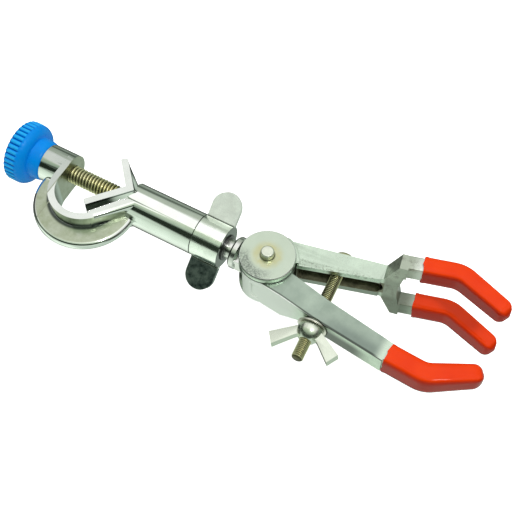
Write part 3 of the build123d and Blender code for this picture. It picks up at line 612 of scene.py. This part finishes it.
def add_lathed(name, node, rings, angle, place=tuple):
    """Adds a closed piece from rings of points in mm."""
    verts, faces = lathe_grid(rings, place)
    mesh = closed_mesh(name, [Vector(v) * MM for v in verts], faces)
    dress(mesh, MATERIALS[node], angle)
    add_piece(name, mesh, node)


# ---------------------------------------------------------------- threaded rods

RINGS_PER_PITCH = 10
CREST_POWER = 0.75


def thread_rings(start, end, radius, pitch, depth, around, chamfer):
    """Rings of (along, across, up) along a threaded rod: a helical V groove with rounded crests."""
    steps = int(abs(end - start) / pitch * RINGS_PER_PITCH)
    rings = []
    for i in range(steps + 1):
        x = start + (end - start) * i / steps
        near = min(abs(x - start), abs(x - end))
        limit = radius - max(0.0, chamfer - near)
        ring = []
        for a in circle(around):
            phase = (x / pitch - a / (2 * pi)) % 1.0
            crest = 0.5 - 0.5 * cos(2 * pi * phase)
            r = min(limit, radius - depth * (1 - crest ** CREST_POWER))
            ring.append((x, r * cos(a), r * sin(a)))
        rings.append(ring)
    return rings


def turned(profile, around):
    """Rings of (along, across, up) from a profile of (along, radius)."""
    return [[(x, r * cos(a), r * sin(a)) for a in circle(around)] for x, r in profile]


def on_screw(point):
    """Maps (along, across, up) about the adjusting screw to space."""
    return ADJ_BASE + ADJ_DIR * point[0] + ADJ_SIDE * point[1] + Vector((0, 0, point[2]))


def clamp_thread():
    """The M8 clamp screw, from inside the knob to its tip."""
    low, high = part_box("clamp_screw")
    inside_knob = 6
    return thread_rings(low.x / MM + inside_knob, high.x / MM, radius=4.0, pitch=1.5, depth=0.85,
                        around=48, chamfer=0.7)


def adjusting_screw():
    """The M5 adjusting screw, from its free end to its domed head."""
    free_end, head_seat, around = -33.0, 15.4, 32
    head = [(head_seat, 4.55), (15.6, 4.75), (16.3, 4.75), (17.1, 4.4), (17.9, 3.6), (18.5, 2.4),
            (18.75, 1.2), (18.8, 0.3)]
    thread = thread_rings(free_end, head_seat, radius=2.5, pitch=0.8, depth=0.42, around=around,
                          chamfer=0.6)
    return thread + turned(head, around)


add_lathed("clamp_screw_thread", "clamp_screw", clamp_thread(), 80)
add_lathed("adjusting_screw_thread", "adjusting_screw", adjusting_screw(), 50, on_screw)

# ---------------------------------------------------------------- wing nut

HUB_AROUND = 40
HUB_PROFILE = [(-18.0, 2.6), (-18.0, 4.6), (-18.15, 5.05), (-18.6, 5.25), (-19.7, 5.3), (-20.9, 5.1),
               (-22.1, 4.6), (-23.2, 3.9), (-24.0, 3.25), (-24.4, 2.8), (-24.4, 2.6)]
BLADE_OUTLINE = [(-19.0, 3.2), (-19.6, 5.4), (-26.3, 14.9), (-31.0, 11.9), (-23.6, 4.6), (-22.8, 3.2)]
BLADE_ROOT = 3.2
BLADE_HALF = 1.45
BLADE_FLARE = 0.12 / 10
BLADE_TURN = radians(8)


def nut_hub():
    """Domed hub with a plain hole."""
    verts, faces = lathe_grid(turned(HUB_PROFILE, HUB_AROUND), on_screw, closed_ends=False)
    last = len(verts) - HUB_AROUND
    for j in range(HUB_AROUND):
        k = (j + 1) % HUB_AROUND
        faces.append((last + j, last + k, k, j))
    return put("wing_nut_hub", closed_mesh("wing_nut_hub", verts, faces))


def nut_blade(way):
    """Flat, square-ended blade on one side of the hub, a little thicker at its tip."""
    verts = []
    for half in (BLADE_HALF, -BLADE_HALF):
        for x, out in BLADE_OUTLINE:
            across = way * out
            thick = half * (1.0 + BLADE_FLARE * (out - BLADE_ROOT))
            verts.append(on_screw((x, across * cos(BLADE_TURN) - thick * sin(BLADE_TURN),
                                   across * sin(BLADE_TURN) + thick * cos(BLADE_TURN))))
    count = len(BLADE_OUTLINE)
    faces = [tuple(range(count)), tuple(reversed(range(count, 2 * count)))]
    faces += [(i, (i + 1) % count, count + (i + 1) % count, count + i) for i in range(count)]
    return put("wing_nut_blade", closed_mesh("wing_nut_blade", verts, faces))


def wing_nut():
    """Hub and two blades, joined and rounded."""
    hub = nut_hub()
    blades = [nut_blade(way) for way in (1, -1)]
    for blade in blades:
        union = hub.modifiers.new("blade", "BOOLEAN")
        union.operation = "UNION"
        union.object = blade
        union.solver = "EXACT"
    round_edges(hub, 0.5, 35)
    mesh = applied(hub)
    for obj in (hub, *blades):
        bpy.data.objects.remove(obj)
    mesh.transform(Matrix.Scale(MM, 4))
    dress(mesh, WING, 40)
    return mesh


add_piece("wing_nut_cast", wing_nut(), "wing_nut")

# ---------------------------------------------------------------- knob

RIB_COUNT = 36
POINTS_PER_RIB = 12
RIB_HEIGHT = 0.85
RIB_SINK = 0.12
RIB_POWER = 0.7
# (along, radius, how much of the ribs' height)
KNOB_PROFILE = [
    (-55.2, 0.4, 0.0), (-55.2, 7.6, 0.0), (-55.4, 8.2, 0.0), (-56.0, 9.0, 0.0), (-56.1, 9.8, 0.0),
    (-56.1, 11.6, 0.0), (-55.95, 12.3, 0.25), (-55.6, 12.75, 0.6), (-55.1, 13.0, 0.85),
    (-54.5, 13.05, 1.0), (-52.8, 13.05, 1.0), (-51.0, 13.05, 1.0), (-50.5, 13.08, 0.9),
    (-50.1, 13.2, 0.65), (-49.7, 13.4, 0.3), (-49.2, 13.42, 0.06), (-48.5, 13.1, 0.0),
    (-47.8, 12.55, 0.0), (-47.2, 11.8, 0.0), (-46.8, 11.0, 0.0), (-46.62, 10.4, 0.0),
    (-46.6, 9.7, 0.0), (-46.45, 9.25, 0.0), (-46.0, 9.1, 0.0), (-43.5, 9.05, 0.0),
    (-42.2, 8.85, 0.0), (-41.3, 8.5, 0.0), (-40.9, 8.1, 0.0), (-40.9, 4.2, 0.0), (-42.5, 4.1, 0.0),
]


def knob_rings():
    """Turned knob with rounded ribs round its rim."""
    rings = []
    for x, r, share in KNOB_PROFILE:
        ring = []
        for a in circle(RIB_COUNT * POINTS_PER_RIB):
            bulge = abs(cos(a * RIB_COUNT / 2)) ** RIB_POWER
            ribbed = r + share * RIB_HEIGHT * (bulge - RIB_SINK)
            ring.append((x, ribbed * cos(a), ribbed * sin(a)))
        rings.append(ring)
    return rings


add_lathed("knob_moulding", "screw_knob", knob_rings(), 50)

# ---------------------------------------------------------------- vinyl sleeves

BEND_RADIUS = 11.0
SLEEVE_STEPS = 46
SLEEVE_AROUND = 56
VINYL_WALL = 0.85
END_WALL = 1.36
TAPER_AFTER_BEND = 2
NOSE_SHARE = 0.55
NOSE_LEAST = 0.12
LIP_HEIGHT = 0.35
LIP_AT = 0.8
DRIP_LENGTH = 3
SLOW_DRIP, FAST_DRIP = 0.25, 0.15
CORNER_POWER = 7.0
CORNER_BUNCHING = 0.20
PRONG_Z = 14.8


def bent_path(start, bend, tip):
    """Points, headings and distances along two runs with a soft bend between, in plan."""
    s, b, t = Vector(start), Vector(bend), Vector(tip)
    d1, d2 = (b - s).normalized(), (t - b).normalized()
    h1, h2 = atan2(d1.y, d1.x), atan2(d2.y, d2.x)
    cut = BEND_RADIUS * abs((h2 - h1) / 2)
    enter, leave = b - d1 * cut, b + d2 * cut
    first, arc = (s - enter).length, BEND_RADIUS * abs(h2 - h1)
    total = first + arc + (t - b).length - cut
    path = []
    for i in range(SLEEVE_STEPS + 1):
        d = total * i / SLEEVE_STEPS
        part = (d - first) / arc
        if part <= 0:
            path.append((s + d1 * d, h1, d))
        elif part <= 1:
            p = enter * (1 - part) ** 2 + b * 2 * part * (1 - part) + leave * part ** 2
            path.append((p, h1 + (h2 - h1) * part, d))
        else:
            path.append((b + d2 * (cut + d - first - arc), h2, d))
    return path, total


def section():
    """Unit square with soft corners, as a superellipse: (across, up) points, closer at the corners."""
    points = []
    for a in circle(SLEEVE_AROUND):
        a -= CORNER_BUNCHING * sin(4 * a)
        c, s = cos(a), sin(a)
        k = (abs(c) ** CORNER_POWER + abs(s) ** CORNER_POWER) ** (-1 / CORNER_POWER)
        points.append((k * c / 2, k * s / 2))
    return points


def vinyl_sleeve(name, node, route, z, back_size, tip_size, phase):
    """Dipped coating round a prong: a closed shell, open at the back, with an uneven rim."""
    start, bend, tip = (Vector(p) for p in route)
    path, total = bent_path(start, bend, tip)
    taper_from = (bend - start).length + TAPER_AFTER_BEND
    outer = []
    inner = []
    for p, heading, d in path:
        f = max(0.0, (d - taper_from) / (total - taper_from))
        w, t = (s0 + (s1 - s0) * f for s0, s1 in zip(back_size, tip_size))
        left = total - d
        nose = min(w, t) * NOSE_SHARE
        k = max(NOSE_LEAST, sqrt(max(0.0, 1 - (1 - min(left, nose) / nose) ** 2)))
        hollow = max(0.0, 1 - 2 * VINYL_WALL / min(w, t)) * min(1.0, k * 1.1)
        lip = LIP_HEIGHT * max(0.0, 1 - abs(d - LIP_AT) / LIP_AT)
        along, across = Vector((cos(heading), sin(heading))), Vector((-sin(heading), cos(heading)))
        ring = []
        ring_in = []
        for angle, (a, b) in zip(circle(SLEEVE_AROUND), section()):
            drip = SLOW_DRIP * sin(2 * angle + phase) + FAST_DRIP * sin(5 * angle + 2 * phase)
            shift = p + along * (drip * max(0.0, 1 - d / DRIP_LENGTH))
            q = shift + across * (a * (w + lip) * k)
            ring.append((q.x, q.y, z + b * (t + lip) * k))
            q = shift + across * (a * w * hollow)
            ring_in.append((q.x, q.y, z + b * t * hollow))
        outer.append(ring)
        if left > END_WALL:
            inner.append(ring_in)
    add_lathed(name, node, list(reversed(inner)) + outer, 60)


# Start, bend and tip in plan
PRONG_ROUTE = ((126.1, 21.1), (140.8, 25.4), (163.9, 18.0))
SINGLE_ROUTE = ((128.6, -13.2), (145.0, -14.1), (165.0, -2.2))
for way, place_name in ((1, "upper"), (-1, "lower")):
    vinyl_sleeve(place_name + "_vinyl", place_name + "_prong_sleeve", PRONG_ROUTE, way * PRONG_Z,
                 back_size=(7.7, 9.5), tip_size=(7.0, 8.6), phase=0.7 + way)
vinyl_sleeve("single_vinyl", "single_prong_sleeve", SINGLE_ROUTE, 0.0,
             back_size=(9.1, 11.0), tip_size=(7.5, 9.0), phase=2.0)

# ---------------------------------------------------------------- softened castings and pressings

MERGE = 0.002 * MM
FLAT_ENOUGH = radians(0.6)


def softened(node, width, angle=28):
    """A copy of a CAD node with small rounded edges, in its place."""
    name = node + "_soft"
    bm = bmesh.new()
    bm.from_mesh(nodes[node].data)
    bmesh.ops.remove_doubles(bm, verts=bm.verts, dist=MERGE)
    bmesh.ops.dissolve_limit(bm, angle_limit=FLAT_ENOUGH, verts=bm.verts, edges=bm.edges)
    mesh = bpy.data.meshes.new(name)
    bm.to_mesh(mesh)
    bm.free()
    dress(mesh, MATERIALS[node], angle)
    obj = put(name, mesh)
    bevel = round_edges(obj, width * MM, angle)
    bevel.use_clamp_overlap = True
    bevel.harden_normals = True
    final = applied(obj)
    bpy.data.objects.remove(obj)
    final.name = name
    add_piece(name, final, node)


softened("boss_frame", 0.6)
softened("wing_collar", 0.5)
softened("swivel_shaft", 0.25)
softened("pivot_pin", 0.2)
softened("two_prong_arm", 0.4)
softened("one_prong_arm", 0.45, angle=12)
softened("head_washer", 0.15)
softened("nut_washer", 0.15)
softened("front_bush", 0.15)

# ---------------------------------------------------------------- camera

AZIMUTH, ELEVATION, ROLL = radians(29.27), radians(59.35), radians(-0.20)
TARGET = Vector((61.31, 2.30, 0.0)) * MM
DISTANCE = 429.6 * MM
FOCAL = 72.87
SENSOR = 36.0


def camera():
    """The photo's camera, by its direction from the target."""
    back = Vector((sin(AZIMUTH) * cos(ELEVATION), -cos(AZIMUTH) * cos(ELEVATION), sin(ELEVATION)))
    right = Vector((cos(AZIMUTH), sin(AZIMUTH), 0.0))
    roll = Matrix.Rotation(ROLL, 3, back)
    facing = Matrix((roll @ right, roll @ back.cross(right), back)).transposed()
    data = bpy.data.cameras.new("camera")
    data.lens = FOCAL
    data.sensor_width = SENSOR
    data.clip_start = 10 * MM
    obj = put("camera", data)
    obj.matrix_world = Matrix.Translation(TARGET + back * DISTANCE) @ facing.to_4x4()
    scene.camera = obj


camera()

# ---------------------------------------------------------------- floor and light

scene.view_settings.view_transform = "Standard"

FLOOR_HALF = 3.0
FLOOR_DROP = 20 * MM
# Degrees round the X axis, from +Y (behind the clamp) up by +Z to -Y (the camera's side); below is
# negative
TENT_BANDS = [
    (-180, (0.76, 0.88, 0.76)),
    (-142, (1.05, 1.17, 1.05)),
    (-115, (0.95, 1.05, 0.94)),
    (-88, (0.06, 0.07, 0.06)),
    (-38, (0.05, 0.06, 0.05)),
    (-8, (0.40, 0.46, 0.40)),
    (2, (0.10, 0.13, 0.10)),
    (10, (0.14, 0.17, 0.14)),
    (18, (0.48, 0.54, 0.47)),
    (42, (0.55, 0.60, 0.52)),
    (56, (1.0, 1.0, 1.0)),
    (100, (1.0, 1.0, 0.97)),
    (110, (0.62, 0.72, 0.56)),
    (128, (0.46, 0.56, 0.45)),
    (135, (0.02, 0.03, 0.02)),
    (163, (0.02, 0.03, 0.02)),
    (170, (0.62, 0.72, 0.62)),
    (180, (0.76, 0.88, 0.76)),
]
CARD = (0.62, 0.72, 0.64)


def studio_world():
    """Light tent in bands round the X axis, dim at both ends, with a pale card low down ahead."""
    world = bpy.data.worlds.new("tent")
    scene.world = world
    world.use_nodes = True
    s = Nodes(world.node_tree)
    way = s.node("SeparateXYZ", {0: s.node("TexCoord").outputs["Generated"]}).outputs
    angle = s.math("ARCTAN2", way["Z"], way["Y"])
    place = s.node("MapRange", {"Value": angle, "From Min": -pi, "From Max": pi}).outputs[0]
    tent = s.ramp(place, [((degrees_ + 180) / 360, color) for degrees_, color in TENT_BANDS])
    light = s.paint(tent, CARD, s.step(way["Z"], 0.0, -0.35), s.step(way["X"], -0.08, 0.18))
    fade = s.node("MapRange", {"Value": s.math("ABSOLUTE", way["X"]), "From Min": 0.78,
                               "From Max": 0.95, "To Min": 1.0, "To Max": 0.12},
                  interpolation_type="SMOOTHSTEP").outputs[0]
    dimmed = s.node("VectorMath", {0: light, "Scale": fade}, operation="SCALE").outputs[0]
    s.tree.links.new(dimmed, s.tree.nodes["Background"].inputs["Color"])


def floor():
    """White floor, which the camera sees and the metal doesn't reflect."""
    r = FLOOR_HALF
    z = cad_box[0][2] - FLOOR_DROP
    mesh = bpy.data.meshes.new("floor")
    mesh.from_pydata([(-r, -r, z), (r, -r, z), (r, r, z), (-r, r, z)], [], [(0, 1, 2, 3)])
    s = Shader("floor", (0.9, 0.9, 0.9), roughness=0.9)
    s.bsdf.inputs["Emission Color"].default_value = rgba(1.0)
    s.bsdf.inputs["Emission Strength"].default_value = 0.8
    mesh.materials.append(s.mat)
    obj = put("floor", mesh)
    obj.visible_glossy = False
    obj.visible_diffuse = False


def lights():
    """A soft key from above and a weak sun."""
    key = bpy.data.lights.new("key", "AREA")
    key.energy = 0.6
    key.size = 0.8
    put("key", key).location = (0.05, 0.15, 0.9)
    sun = bpy.data.lights.new("sun", "SUN")
    sun.energy = 0.8
    sun.angle = radians(8)
    towards_sun = Vector((0.35, -0.15, 0.92))
    put("sun", sun).rotation_euler = towards_sun.to_track_quat("Z", "Y").to_euler()


studio_world()
floor()
lights()
